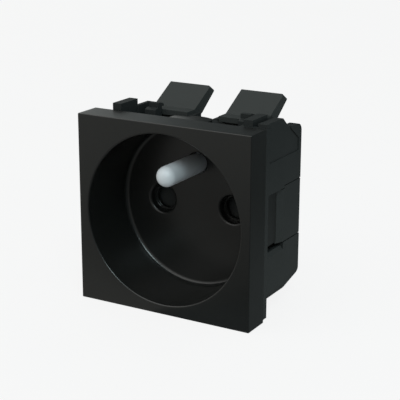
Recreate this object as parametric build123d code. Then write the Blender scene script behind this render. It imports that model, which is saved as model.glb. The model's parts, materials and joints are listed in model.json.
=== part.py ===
"""Snap-in wall socket module, 45 by 45 mm, with an earth pin and push-in terminals.

Frame in millimetres: X to the right and Z up as seen from the room, Y into the wall.
The origin is the centre of the round recess on the front face of the cover.
"""

from build123d import *
import math
import os

os.makedirs("parts", exist_ok=True)

# Cover plate and its skirt
plate_side = 45.0
plate_depth = 7.0
plate_wall = 2.0
skirt_wall = 1.3
plate_edge_radius = 0.2

# Round recess that takes the plug
recess_radius = 20.1
recess_depth = 15.9
rim_radius = 0.4
floor_radius = 1.1
rim_steps = 2
floor_steps = 3
floor_wall = 3.0
recess_wall = 0.75
tube_back_chamfer = 1.25

# Plug pattern
pin_diameter = 4.8
pin_pitch = 19.0
earth_height = 10.0

# Contact holes in the recess floor
hole_mouth_radius = 3.3
hole_mouth_depth = 2.0
hole_lip_radius = 0.7
hole_inner_radius = 2.75

# Lug on the top of the skirt
tab_left = -2.2
tab_right = 7.75
tab_reach = 2.7
tab_thickness = 1.2
tab_corner = 0.6

# Snap pads on both sides of the recess tube
pad_face = 21.45
pad_root = 19.0
pad_end = 14.8
pad_low = -5.4
pad_high = 6.5

# Working values
overrun = 1.0
touch = 0.01
quarter = 90

# Clearances
fit_gap = 0.2
snug_gap = 0.1
moving_gap = 0.3
running_gap = 0.04

# Housing outside
flange_reach = 0.1
flange_back = 9.4
flange_top = 22.35
flange_left_top = 21.3
flange_notch_half_width = 15.5
flange_notch_floor = 19.5
body_half_width = 22.0
body_back = 25.95
body_bottom = -19.15
body_bottom_break = 19.7
body_bottom_rear = -17.7
body_edge_radius = 3.0
shroud_wall = 0.95
roof_height = 19.0
roof_break = 19.0
roof_fall = 2.6
side_wall = 2.3
side_top_front_rise = 4.2
side_crest_y = 16.7
side_crest_rise = 4.05
side_step_y = 19.4
side_step_rise = 1.8
side_flat_y = 21.6
side_flat_rise = 1.4
side_rear_corner = 1.9
low_wall_drop = 0.6

# Ribs, hooks and cheeks on the roof
rib_inner = 16.1
rib_outer = 18.4
rib_front = 8.4
rib_back = 15.5
rib_top_rise = 4.77
hook_inner = 11.05
hook_outer = 13.5
hook_front = 16.5
hook_top_rise = 4.0
hook_back = 18.2
hook_nose_reach = 20.9
hook_nose_top_rise = 2.85
hook_underside_rise = 3.0
hook_flat = 17.7
step_front = 15.3
step_outer = 14.0
step_top_rise = 2.46
step_slope_rise = 0.42
cheek_wall = 1.0
inner_cheek_top_rise = 1.5
inner_cheek_front = 17.6
outer_cheek_top_rise = 3.2
outer_cheek_front = 15.0
outer_cheek_end = 21.0
cheek_back = 22.8
cheek_back_top_rise = 1.3

# Shallow panel sunk into the side walls
panel_depth = 0.25
panel_front = 9.95
panel_low = 14.15
panel_back = 24.6
panel_step_low = 17.1
panel_step_y = 20.4
panel_step_z = 20.0

# Side windows and the slots for the arms of the rear cover
window_low = -7.1
window_high = 6.8
window_back = 17.5
window_chamfer = 0.8
slot_low = -6.3
slot_high = 7.35
slot_depth = 1.15

# Inside of the housing
cavity_side_wall = 1.6
cavity_floor_wall = 1.5
cavity_high = 14.8
ledge_front = 19.1
ledge_back = 19.9
ledge_half_width = 18.4
ledge_low = -14.2
ledge_high = 13.2

# Contact carrier
carrier_front = 21.4
carrier_back = 22.9
carrier_rim = 1.4
guide_radius = 2.75
rail_inner = 13.5
rail_outer = 14.6
rail_low = -11.5
rail_high = 5.0
spring_seat_z = -14.2

# Shutter
shutter_front = 19.3
shutter_back = 21.1
shutter_half_width = 13.2
shutter_low = -4.0
shutter_high = 3.4
shutter_lip = 0.4
shutter_ramp_foot = -2.6
shutter_peg_radius = 0.5
shutter_peg_length = 1.6

# Shutter spring
coil_radius = 0.75
coil_wire = 0.28
coil_turns = 8
coil_steps = 12
coil_sides = 5

# Rear cover
rear_plate_front = 24.2
rear_block_back = 38.0
rear_block_side_reach = 4.9
rear_block_low = -12.0
rear_block_high = 12.5
rear_wall = 1.4
rear_edge_chamfer = 0.7
arm_low = -6.1
arm_high = 7.15
arm_set_in = 0.05
arm_tip = 15.0
arm_ramp_end = 17.5
arm_shoulder = 17.7
arm_tip_high = 6.5
arm_tip_set_in = 0.95
barrier_inner = 4.1
barrier_wall = 0.6
ear_notch_wall = 0.5
rivet_room_half_width = 3.6
rivet_room_back = 25.0
rivet_room_low = 8.0
rivet_room_high = 13.1

# Wire entries in the rear face
entry_radius = 1.8
entry_mouth_radius = 2.3
entry_mouth_depth = 0.6
entry_height = 8.0
earth_entry_x = 2.05
pole_entry_inward = 2.8
pole_entry_outward = 1.5

# Earth pin
earth_tip = 0.0
earth_tip_steps = 6
earth_root_front = 15.4
earth_root_back = 17.4
earth_root_radius = 1.9
earth_collar_radius = 3.2
earth_collar_front = 19.2
earth_collar_thickness = 1.4
earth_tail_radius = 1.8
earth_rivet_radius = 2.7
earth_rivet_thickness = 0.7
earth_hole_radius = 2.6
washer_thickness = 0.4
washer_radius = 2.9

# Sheet metal
strip = 0.8
leaf = 0.7
spring_leaf = 0.35
clip_leaf = 0.4

# Earth strip
earth_strip_half_width = 3.9
earth_strip_neck = 3.2
earth_strip_top = 12.8
earth_bar_z = 5.4
earth_bar_back = 34.5

# Pole contacts
contact_front = 23.6
contact_back = 33.4
grip_gap = 4.2
contact_top = 3.0
contact_low = -3.2
contact_flare = 0.5
contact_flare_length = 1.4
terminal_bar_z = 10.2
terminal_bar_front = 26.5
terminal_bar_inner = 5.2

# Steel clip round each contact
clip_front = 27.0
clip_back = 31.0
clip_top = 2.0

# Clamp springs
clamp_front = 27.0
clamp_back = 35.4
clamp_base_z = 3.7
clamp_turn_radius = 1.0
clamp_turn_deg = 150
clamp_turn_steps = 8
clamp_tip_y = 28.2
clamp_tip_z = 9.7
clamp_width = 6.4
clamp_ear_width = 1.5
clamp_ear_end_y = 23.4
clamp_ear_end_z = 12.3
clamp_ear_knee_y = 25.5
earth_clamp_base_z = 11.0
earth_clamp_tip_z = 6.75
earth_clamp_width = 7.0

# Release levers
lever_inner = 4.2
lever_outer = 15.5
lever_root_y = 18.5
lever_root_rise = 2.2
lever_bend_y = 21.95
lever_bend_rise = 2.2
lever_tip_y = 29.65
lever_tip_rise = 6.65
lever_thickness = 1.25
lever_nose_y = 31.7
lever_nose_rise = 5.35
lever_heel_y = 25.45
lever_heel_rise = 0.7
lever_rib = 0.9
lever_corner = 0.6
hub_y = 20.8
hub_rise = 0.1
hub_radius = 1.5
lever_pin_radius = 0.8
leg_width = 1.6
leg_inset = 1.1
leg_tip_y = 23.9
leg_tip_z = 12.9
leg_tip_width = 1.1
leg_pocket_front = 19.6
leg_pocket_floor = 11.4
trough_depth = 1.8
trough_back = 22.7

# Sizes that follow from the ones above
flange_half_width = body_half_width + flange_reach
flange_bottom = -flange_half_width
arm_outer = body_half_width - arm_set_in
arm_tip_face = body_half_width - arm_tip_set_in
slot_floor = body_half_width - slot_depth
cavity_half_width = body_half_width - cavity_side_wall
side_wall_inner = body_half_width - side_wall
half_plate = plate_side / 2
half_pitch = pin_pitch / 2
rear_block_half_width = half_pitch + rear_block_side_reach
pole_entry_inner = half_pitch - pole_entry_inward
pole_entry_outer = half_pitch + pole_entry_outward
pin_radius = pin_diameter / 2
floor_back = recess_depth + floor_wall
tube_radius = recess_radius + recess_wall
bore_radius = tube_radius + fit_gap
shroud_radius = bore_radius + shroud_wall
inner_cheek_outer = lever_inner - moving_gap
inner_cheek_inner = inner_cheek_outer - cheek_wall
outer_cheek_inner = lever_outer + moving_gap
outer_cheek_outer = outer_cheek_inner + cheek_wall
rib_top = roof_height + rib_top_rise
hook_top = roof_height + hook_top_rise
hook_nose_top = roof_height + hook_nose_top_rise
hook_underside = roof_height + hook_underside_rise
step_top = roof_height + step_top_rise
inner_cheek_top = roof_height + inner_cheek_top_rise
outer_cheek_top = roof_height + outer_cheek_top_rise
cheek_back_top = roof_height + cheek_back_top_rise
lever_root_z = roof_height + lever_root_rise
lever_bend_z = roof_height + lever_bend_rise
lever_tip_z = roof_height + lever_tip_rise
lever_nose_z = roof_height + lever_nose_rise
lever_heel_z = roof_height + lever_heel_rise
hub_z = roof_height + hub_rise
trough_floor = roof_height - trough_depth
roof_rear = roof_height - roof_fall
side_top_front = roof_height + side_top_front_rise
side_crest_z = roof_height + side_crest_rise
side_step_z = roof_height + side_step_rise
side_flat_z = roof_height + side_flat_rise
cavity_low = body_bottom_rear + cavity_floor_wall
leg_inner = lever_inner + leg_inset
leg_outer = leg_inner + leg_width
sides = (-1, 1)


def block(x0, x1, y0, y1, z0, z1):
    """Box between two corners."""
    centre = ((x0 + x1) / 2, (y0 + y1) / 2, (z0 + z1) / 2)
    return Pos(*centre) * Box(abs(x1 - x0), abs(y1 - y0), abs(z1 - z0))


def rod_y(radius, y0, y1, x=0.0, z=0.0):
    """Round bar along Y."""
    return Pos(x, (y0 + y1) / 2, z) * Rot(quarter, 0, 0) * Cylinder(radius, y1 - y0)


def rod_x(radius, x0, x1, y, z):
    """Round bar along X."""
    return Pos((x0 + x1) / 2, y, z) * Rot(0, quarter, 0) * Cylinder(radius, abs(x1 - x0))


def prism_x(points, x0, x1):
    """Outline of (y, z) points carried along X."""
    face = make_face(Polyline(*[(x0, y, z) for y, z in points], close=True))
    return extrude(face, amount=x1 - x0, dir=(1, 0, 0))


def prism_y(points, y0, y1):
    """Outline of (x, z) points carried along Y."""
    face = make_face(Polyline(*[(x, y0, z) for x, z in points], close=True))
    return extrude(face, amount=y1 - y0, dir=(0, 1, 0))


def turned_y(points, x=0.0, z=0.0):
    """Outline of (radius, y) points turned about a line along Y."""
    face = make_face(Polyline(*[(r, y, 0.0) for r, y in points], close=True))
    return Pos(x, 0, z) * revolve(face, axis=Axis.Y)


def strip_path(points, thickness):
    """Closed outline of a bent strip that is centred on a path of (y, z) points."""
    left = []
    right = []
    last = len(points) - 1
    for i, (y, z) in enumerate(points):
        before = points[max(i - 1, 0)]
        after = points[min(i + 1, last)]
        length = math.dist(before, after)
        ty = (after[0] - before[0]) / length
        tz = (after[1] - before[1]) / length
        left.append((y - tz * thickness / 2, z + ty * thickness / 2))
        right.append((y + tz * thickness / 2, z - ty * thickness / 2))
    return left + right[::-1]


def arc_points(cy, cz, radius, start_deg, end_deg, count):
    """Points on an arc in the (y, z) plane."""
    step = (end_deg - start_deg) / count
    angles = [math.radians(start_deg + step * i) for i in range(count + 1)]
    return [(cy + radius * math.cos(a), cz + radius * math.sin(a)) for a in angles]


def mirrored(shape, side):
    """The shape itself on the right, its mirror image on the left."""
    return shape if side > 0 else mirror(shape, Plane.YZ)


def edges_where(shape, test):
    """Edges whose centre passes the test."""
    return [e for e in shape.edges() if test(e.center(), e)]


def recess_cavity():
    """Space inside the recess, with a rounded rim and a rounded floor edge."""
    mouth = recess_radius + rim_radius
    outline = [(0, -overrun), (mouth, -overrun)]
    outline += arc_points(mouth, rim_radius, rim_radius, -quarter, -2 * quarter, rim_steps)
    foot = recess_radius - floor_radius
    outline += arc_points(foot, recess_depth - floor_radius, floor_radius, 0, quarter, floor_steps)
    outline.append((0, recess_depth))
    return turned_y(outline)


def contact_hole(x):
    """Rounded lip, wide mouth and narrower hole through the recess floor."""
    deep = recess_depth + hole_mouth_depth
    lip = hole_mouth_radius + hole_lip_radius
    outline = [(0, recess_depth - overrun), (lip, recess_depth - overrun)]
    centre_y = recess_depth + hole_lip_radius
    outline += arc_points(lip, centre_y, hole_lip_radius, -quarter, -2 * quarter, rim_steps)
    outline += [
        (hole_mouth_radius, deep),
        (hole_inner_radius, deep),
        (hole_inner_radius, floor_back + overrun),
        (0, floor_back + overrun),
    ]
    return turned_y(outline, x)


def front_cover():
    """Square plate with skirt, recess tube, floor, top lug and snap pads in one moulding."""
    plate = block(-half_plate, half_plate, 0, plate_depth, -half_plate, half_plate)
    outer = edges_where(plate, lambda c, e: c.Y < plate_depth - plate_edge_radius)
    plate = fillet(outer, plate_edge_radius)
    inside = half_plate - skirt_wall
    plate -= block(-inside, inside, plate_wall, plate_depth + overrun, -inside, inside)
    tube = turned_y(
        [
            (0, plate_wall / 2),
            (tube_radius, plate_wall / 2),
            (tube_radius, floor_back - tube_back_chamfer),
            (tube_radius - tube_back_chamfer, floor_back),
            (0, floor_back),
        ]
    )
    body = plate + tube
    tab = block(
        tab_left,
        tab_right,
        plate_depth - overrun,
        plate_depth + tab_reach,
        half_plate - tab_thickness,
        half_plate,
    )
    corners = edges_where(
        tab, lambda c, e: c.Y > plate_depth + tab_reach - touch and e.length < tab_thickness + touch
    )
    body += fillet(corners, tab_corner)
    for side in sides:
        body += block(side * pad_root, side * pad_face, plate_wall, pad_end, pad_low, pad_high)
    body -= recess_cavity()
    for side in sides:
        body -= contact_hole(side * half_pitch)
    return body - rod_y(earth_hole_radius, recess_depth - overrun, floor_back + overrun, z=earth_height)


def side_outline():
    """Outline of the housing seen from the side, without its rounded rear corners."""
    return [
        (flange_back - overrun, body_bottom),
        (body_bottom_break, body_bottom),
        (body_back, body_bottom_rear),
        (body_back, side_flat_z),
        (side_flat_y, side_flat_z),
        (side_step_y, side_step_z),
        (side_crest_y, side_crest_z),
        (flange_back - overrun, side_top_front),
    ]


def roof_cut():
    """Space above the roof between the two side walls."""
    points = [
        (flange_back - 2 * overrun, roof_height),
        (roof_break, roof_height),
        (body_back + overrun, roof_rear),
        (body_back + overrun, side_top_front + 2 * overrun),
        (flange_back - 2 * overrun, side_top_front + 2 * overrun),
    ]
    return prism_x(points, -side_wall_inner, side_wall_inner)


def low_wall_cut():
    """Space above the left side wall, which ends at the roof."""
    points = [
        (flange_back, roof_height - low_wall_drop),
        (roof_break, roof_height - low_wall_drop),
        (body_back + overrun, roof_rear - low_wall_drop),
        (body_back + overrun, side_top_front + overrun),
        (flange_back - 2 * overrun, side_top_front + overrun),
        (flange_back - 2 * overrun, roof_height - low_wall_drop),
    ]
    return prism_x(points, -body_half_width - overrun, -side_wall_inner)


def flange():
    """Square ring behind the skirt of the cover, open at the top between its corners."""
    ring = block(
        -flange_half_width, flange_half_width, plate_depth, flange_back, flange_bottom, flange_top
    )
    ring -= block(
        -flange_notch_half_width,
        flange_notch_half_width,
        plate_depth - overrun,
        flange_back + overrun,
        flange_notch_floor,
        flange_top + overrun,
    )
    return ring - block(
        -flange_half_width - overrun,
        -flange_notch_half_width,
        plate_depth - overrun,
        flange_back + overrun,
        flange_left_top,
        flange_top + overrun,
    )


def shroud():
    """Half-round bulge round the lower half of the recess tube."""
    bulge = rod_y(shroud_radius, flange_back - overrun, ledge_back)
    keep = block(
        -body_half_width, body_half_width, 0, body_back, -shroud_radius - overrun, 0
    )
    return bulge & keep


def hook():
    """Hook in front of a lever, with a nose that reaches over the lever's root."""
    outline = [
        (hook_front, roof_height - overrun),
        (hook_front, hook_top),
        (hook_flat, hook_top),
        (hook_nose_reach, hook_nose_top),
        (hook_back, hook_underside),
        (hook_back, roof_height - overrun),
    ]
    step = [
        (step_front, roof_height - overrun),
        (step_front, step_top),
        (hook_front, step_top + step_slope_rise),
        (hook_front, roof_height - overrun),
    ]
    return prism_x(outline, hook_inner, hook_outer) + prism_x(step, hook_inner, step_outer)


def cheeks():
    """Pair of walls that carry one lever's pivot pin."""
    inner = [
        (inner_cheek_front, roof_rear - overrun),
        (inner_cheek_front, inner_cheek_top),
        (cheek_back, inner_cheek_top),
        (cheek_back, roof_rear - overrun),
    ]
    outer = [
        (outer_cheek_front, roof_rear - overrun),
        (outer_cheek_front, outer_cheek_top),
        (outer_cheek_end, outer_cheek_top),
        (cheek_back, cheek_back_top),
        (cheek_back, roof_rear - overrun),
    ]
    pair = prism_x(inner, inner_cheek_inner, inner_cheek_outer)
    return pair + prism_x(outer, outer_cheek_inner, outer_cheek_outer)


def side_cuts():
    """Sunk panel, window and arm slot of the right side wall."""
    panel = [
        (panel_front, panel_low),
        (panel_back, panel_low),
        (panel_back, panel_step_low),
        (panel_step_y, panel_step_z),
        (panel_step_y, side_top_front + overrun),
        (panel_front, side_top_front + overrun),
    ]
    cut = prism_x(panel, body_half_width - panel_depth, body_half_width + overrun)
    cut += block(
        pad_root,
        body_half_width + overrun,
        flange_back,
        window_back,
        window_low,
        window_high,
    )
    cut += block(
        slot_floor,
        body_half_width + overrun,
        window_back,
        body_back + overrun,
        slot_low,
        slot_high,
    )
    cut += block(
        cavity_half_width - overrun,
        body_half_width + overrun,
        rear_plate_front - snug_gap,
        body_back + overrun,
        slot_low,
        slot_high,
    )
    cut += prism_y(
        [
            (body_half_width - window_chamfer, window_low),
            (body_half_width + overrun, window_low),
            (body_half_width + overrun, window_low - window_chamfer),
            (body_half_width, window_low - window_chamfer),
        ],
        flange_back,
        window_back,
    )
    return cut


def housing():
    """Moulded frame with flange, side walls, roof, hooks, cheeks and ribs."""
    frame = prism_x(side_outline(), -body_half_width, body_half_width)
    low = edges_where(
        frame,
        lambda c, e: c.Z < body_bottom_rear + touch
        and abs(abs(c.X) - body_half_width) < touch
        and e.length > body_edge_radius
        and abs(c.Y - body_back) > touch,
    )
    frame = fillet(low, body_edge_radius)
    corner = edges_where(
        frame,
        lambda c, e: abs(c.Y - body_back) < touch and abs(c.Z - side_flat_z) < touch,
    )
    frame = fillet(corner, side_rear_corner)
    frame -= roof_cut()
    frame -= low_wall_cut()
    frame += flange()
    frame += shroud()
    for side in sides:
        frame += mirrored(hook() + cheeks(), side)
        frame += mirrored(
            block(rib_inner, rib_outer, rib_front, rib_back, roof_height - overrun, rib_top), side
        )
    tube_room = turned_y(
        [
            (0, plate_depth - overrun),
            (bore_radius, plate_depth - overrun),
            (bore_radius, floor_back + fit_gap - tube_back_chamfer),
            (bore_radius - tube_back_chamfer, floor_back + fit_gap),
            (0, floor_back + fit_gap),
        ]
    )
    frame -= tube_room
    frame -= block(
        -ledge_half_width, ledge_half_width, ledge_front - overrun, ledge_back + overrun,
        ledge_low, ledge_high,
    )
    frame -= block(
        -cavity_half_width, cavity_half_width, ledge_back, body_back + overrun,
        cavity_low, cavity_high,
    )
    for side in sides:
        frame -= mirrored(side_cuts(), side)
        frame -= mirrored(lever_room(), side)
        pad_room = pad_face + fit_gap
        frame -= block(
            side * pad_root,
            side * pad_room,
            plate_depth - overrun,
            flange_back + overrun,
            pad_low - fit_gap,
            pad_high + fit_gap,
        )
        frame -= rod_x(
            lever_pin_radius, side * inner_cheek_inner, side * outer_cheek_outer, hub_y, hub_z
        )
    return frame


def lever_room():
    """Trough under one lever's hub and the pocket that its leg swings in."""
    trough = block(
        inner_cheek_outer, outer_cheek_inner, ledge_front, trough_back,
        trough_floor, side_top_front,
    )
    trough -= block(
        hook_inner - overrun, hook_outer + overrun, 0, hook_back, 0, side_top_front + overrun
    )
    pocket = block(
        leg_inner - moving_gap,
        leg_outer + moving_gap,
        leg_pocket_front,
        leg_tip_y + moving_gap,
        cavity_high - overrun,
        side_top_front,
    )
    return trough + pocket


def contact_carrier():
    """Inner plate with pin holes, shutter rails in front and a rim that seats on the ledge."""
    half = cavity_half_width - snug_gap
    low = cavity_low + snug_gap
    high = cavity_high - snug_gap
    plate = block(-half, half, ledge_back, carrier_back, low, high)
    plate -= block(
        -half + carrier_rim,
        half - carrier_rim,
        ledge_back - overrun,
        carrier_front,
        low + carrier_rim,
        high - carrier_rim,
    )
    for side in sides:
        plate += block(
            side * rail_inner, side * rail_outer, shutter_front, carrier_front, rail_low, rail_high
        )
        plate -= rod_y(
            guide_radius, carrier_front - overrun, carrier_back + overrun, x=side * half_pitch
        )
        plate -= mirrored(
            block(
                leg_inner - moving_gap,
                leg_outer + moving_gap,
                ledge_back - overrun,
                carrier_back + overrun,
                leg_pocket_floor,
                high + overrun,
            ),
            side,
        )
    tail_hole = earth_tail_radius + running_gap
    plate -= rod_y(tail_hole, carrier_front - overrun, carrier_back + overrun, z=earth_height)
    collar_room = earth_collar_radius + fit_gap
    plate -= rod_y(
        collar_room, ledge_back - overrun, carrier_front, z=earth_height
    )
    return plate


def shutter():
    """Sliding plate with a ramp behind each contact hole and a peg for its spring."""
    ramp = [
        (shutter_front, shutter_low),
        (shutter_back, shutter_low),
        (shutter_back, shutter_high),
        (shutter_back - shutter_lip, shutter_high),
        (shutter_front, shutter_ramp_foot),
    ]
    plate = prism_x(ramp, -shutter_half_width, shutter_half_width)
    relief_half = half_pitch - hole_mouth_radius - overrun
    plate -= block(
        -relief_half, relief_half, shutter_front - overrun, shutter_back - 2 * shutter_lip,
        shutter_low - overrun, shutter_high + overrun,
    )
    middle = block(
        -overrun, overrun, shutter_front, shutter_back, shutter_low, shutter_low + overrun
    )
    peg_y = (shutter_front + shutter_back) / 2
    peg = Pos(0, peg_y, shutter_low - shutter_peg_length / 2)
    return plate + middle + peg * Cylinder(shutter_peg_radius, shutter_peg_length)


def shutter_spring():
    """Open compression coil between the shutter and the carrier's lower rim."""
    height = shutter_low - spring_seat_z - coil_wire
    count = coil_turns * coil_steps
    path = []
    for i in range(count + 1):
        angle = 2 * math.pi * i / coil_steps
        path.append(
            (coil_radius * math.cos(angle), coil_radius * math.sin(angle), height * i / count)
        )
    line = Polyline(*path)
    section = Plane(origin=line @ 0, z_dir=line % 0) * RegularPolygon(coil_wire / 2, coil_sides)
    peg_y = (shutter_front + shutter_back) / 2
    coil = sweep(section, path=line, transition=Transition.RIGHT)
    return Pos(0, peg_y, spring_seat_z + coil_wire / 2) * coil


def rear_cover():
    """Rear lid with the terminal block, wire entries and two snap arms."""
    half = cavity_half_width - snug_gap
    low = cavity_low + snug_gap
    high = cavity_high - snug_gap
    lid = block(-half, half, rear_plate_front, body_back, low, high)
    lip = block(-half, half, carrier_back, rear_plate_front, low, high)
    lip -= block(
        -half + carrier_rim,
        half - carrier_rim,
        carrier_back - overrun,
        rear_plate_front + overrun,
        low + carrier_rim,
        high - 2 * carrier_rim,
    )
    tower = block(
        -rear_block_half_width,
        rear_block_half_width,
        body_back - overrun,
        rear_block_back,
        rear_block_low,
        rear_block_high,
    )
    soft = edges_where(tower, lambda c, e: c.Y > body_back)
    tower = chamfer(soft, rear_edge_chamfer)
    lid += tower
    lid += lip
    inside = rear_block_half_width - rear_wall
    room = block(
        -inside,
        inside,
        rear_plate_front - overrun,
        rear_block_back - rear_wall,
        rear_block_low + rear_wall,
        rear_block_high - rear_wall,
    )
    for side in sides:
        room -= block(
            side * barrier_inner,
            side * (barrier_inner + barrier_wall),
            rear_plate_front,
            rear_block_back,
            rear_block_low,
            rear_block_high,
        )
    lid -= room
    for side in sides:
        lid -= mirrored(
            block(
                leg_inner - moving_gap,
                leg_outer + moving_gap,
                carrier_back - overrun,
                body_back - ear_notch_wall,
                rear_block_high - rear_wall - overrun,
                high + overrun,
            ),
            side,
        )
        lid += mirrored(snap_arm(), side)
        for x in (earth_entry_x, pole_entry_inner, pole_entry_outer):
            lid -= wire_entry(side * x)
    return lid - block(
        -rivet_room_half_width,
        rivet_room_half_width,
        carrier_back - overrun,
        rivet_room_back,
        rivet_room_low,
        rivet_room_high,
    )


def snap_arm():
    """Flat arm that runs forward outside the housing wall and ends in a ramp."""
    outline = make_face(
        Polyline(
            (slot_floor + snug_gap, arm_tip),
            (arm_tip_face, arm_tip),
            (arm_outer, arm_ramp_end),
            (arm_outer, body_back),
            (cavity_half_width - overrun, body_back),
            (cavity_half_width - overrun, rear_plate_front),
            (slot_floor + snug_gap, rear_plate_front),
            close=True,
        )
    )
    arm = extrude(Pos(0, 0, arm_low) * outline, amount=arm_high - arm_low, dir=(0, 0, 1))
    return arm - block(
        cavity_half_width, body_half_width, arm_tip - overrun, arm_shoulder, arm_tip_high, slot_high
    )


def wire_entry(x):
    """Funnel and bore for one wire."""
    return turned_y(
        [
            (0, rear_block_back - rear_wall - overrun),
            (entry_radius, rear_block_back - rear_wall - overrun),
            (entry_radius, rear_block_back - entry_mouth_depth),
            (entry_mouth_radius, rear_block_back),
            (entry_mouth_radius, rear_block_back + overrun),
            (0, rear_block_back + overrun),
        ],
        x,
        entry_height,
    )


def earth_pin():
    """Turned pin with a round tip, a root that narrows in the floor, a collar and a riveted tail."""
    outline = arc_points(0, earth_tip + pin_radius, pin_radius, -quarter, 0, earth_tip_steps)
    outline += [
        (pin_radius, earth_root_front),
        (earth_root_radius, earth_root_back),
        (earth_root_radius, earth_collar_front),
        (0, earth_collar_front),
    ]
    shank = turned_y(outline, z=earth_height)
    collar_back = earth_collar_front + earth_collar_thickness
    collar = rod_y(earth_collar_radius, earth_collar_front, collar_back, z=earth_height)
    tail_end = carrier_back + strip + washer_thickness
    tail = rod_y(earth_tail_radius, collar_back, tail_end, z=earth_height)
    rivet = rod_y(earth_rivet_radius, tail_end, tail_end + earth_rivet_thickness, z=earth_height)
    return shank + collar + tail + rivet


def earth_washer():
    """Washer under the riveted end of the earth pin."""
    front = carrier_back + strip
    ring = rod_y(washer_radius, front, front + washer_thickness, z=earth_height)
    return ring - rod_y(
        earth_tail_radius, front - overrun, front + washer_thickness + overrun, z=earth_height
    )


def earth_strip():
    """Angle of brass strip from the earth pin to the earth terminal."""
    upright = block(
        -earth_strip_neck, earth_strip_neck, carrier_back, carrier_back + strip,
        earth_bar_z, earth_strip_top,
    )
    bar = block(
        -earth_strip_half_width, earth_strip_half_width, carrier_back, earth_bar_back,
        earth_bar_z, earth_bar_z + strip,
    )
    bar -= earth_bar_relief()
    hole = rod_y(
        earth_tail_radius, carrier_back - overrun, carrier_back + strip + overrun, z=earth_height
    )
    return upright + bar - hole


def earth_bar_relief():
    """Corners taken off the bar beside the upright."""
    cut = Part()
    for side in sides:
        cut += block(
            side * earth_strip_neck,
            side * (earth_strip_half_width + overrun),
            carrier_back - overrun,
            carrier_back + 2 * strip,
            earth_bar_z - overrun,
            earth_bar_z + 2 * strip,
        )
    return cut


def contact():
    """Folded brass piece: a jaw for the plug pin and a bar for the wires above it."""
    half = grip_gap / 2
    wide = half + contact_flare
    flare_end = contact_front + contact_flare_length
    jaw = []
    for side in sides:
        jaw.append(
            [
                (side * half, flare_end),
                (side * wide, contact_front),
                (side * (wide + leaf), contact_front),
                (side * (half + leaf), flare_end),
                (side * (half + leaf), contact_back),
                (side * half, contact_back),
            ]
        )
    piece = Part()
    for outline in jaw:
        face = make_face(Polyline(*[(x, y, contact_low) for x, y in outline], close=True))
        piece += extrude(face, amount=contact_top - contact_low, dir=(0, 0, 1))
    piece += block(
        -half - leaf, half + leaf, flare_end, contact_back, contact_low - leaf, contact_low
    )
    piece += block(
        half, half + leaf, terminal_bar_front, contact_back, contact_top - overrun,
        terminal_bar_z + leaf,
    )
    piece += block(
        terminal_bar_inner - half_pitch, half + leaf, terminal_bar_front, contact_back,
        terminal_bar_z, terminal_bar_z + leaf,
    )
    return Pos(half_pitch, 0, 0) * piece


def grip_spring():
    """Steel clip round the jaw that presses its leaves together."""
    inner = grip_gap / 2 + leaf
    outer = inner + clip_leaf
    floor = contact_low - leaf
    clip = block(-outer, outer, clip_front, clip_back, floor - clip_leaf, clip_top)
    clip -= block(
        -inner, inner, clip_front - overrun, clip_back + overrun, floor, clip_top + overrun
    )
    return Pos(half_pitch, 0, 0) * clip


def clamp_spring():
    """Folded steel leaf that pushes a pole's wires up against the terminal bar."""
    turn_y = clamp_back - clamp_turn_radius
    turn_z = clamp_base_z + spring_leaf / 2 + clamp_turn_radius
    path = [(clamp_front, clamp_base_z + spring_leaf / 2)]
    end = clamp_turn_deg - quarter
    path += arc_points(turn_y, turn_z, clamp_turn_radius, -quarter, end, clamp_turn_steps)
    path.append((clamp_tip_y, clamp_tip_z))
    centre = (terminal_bar_inner + half_pitch + grip_gap / 2) / 2
    half = clamp_width / 2
    spring = prism_x(strip_path(path, spring_leaf), centre - half, centre + half)
    ear_path = [
        (clamp_tip_y + spring_leaf, clamp_tip_z),
        (clamp_ear_knee_y, clamp_tip_z + spring_leaf / 2),
        (clamp_ear_end_y + overrun, clamp_ear_end_z - spring_leaf / 2),
        (clamp_ear_end_y, clamp_ear_end_z),
    ]
    ear = prism_x(strip_path(ear_path, spring_leaf), leg_inner, leg_inner + clamp_ear_width)
    return spring + ear


def earth_clamp_spring():
    """Folded steel leaf that pushes the earth wires down on the earth bar."""
    turn_y = clamp_back - clamp_turn_radius
    base = earth_clamp_base_z - spring_leaf / 2
    turn_z = base - clamp_turn_radius
    path = [(clamp_front, base)]
    end = quarter - clamp_turn_deg
    path += arc_points(turn_y, turn_z, clamp_turn_radius, quarter, end, clamp_turn_steps)
    path.append((clamp_tip_y, earth_clamp_tip_z))
    half = earth_clamp_width / 2
    return prism_x(strip_path(path, spring_leaf), -half, half)


def lever_side():
    """Wedge-shaped outline of the paddle's side ribs."""
    return [
        (lever_bend_y, lever_bend_z),
        (lever_tip_y, lever_tip_z),
        (lever_nose_y, lever_nose_z),
        (lever_heel_y, lever_heel_z),
        (hub_y + hub_radius, hub_z),
        (hub_y, hub_z),
    ]


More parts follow.
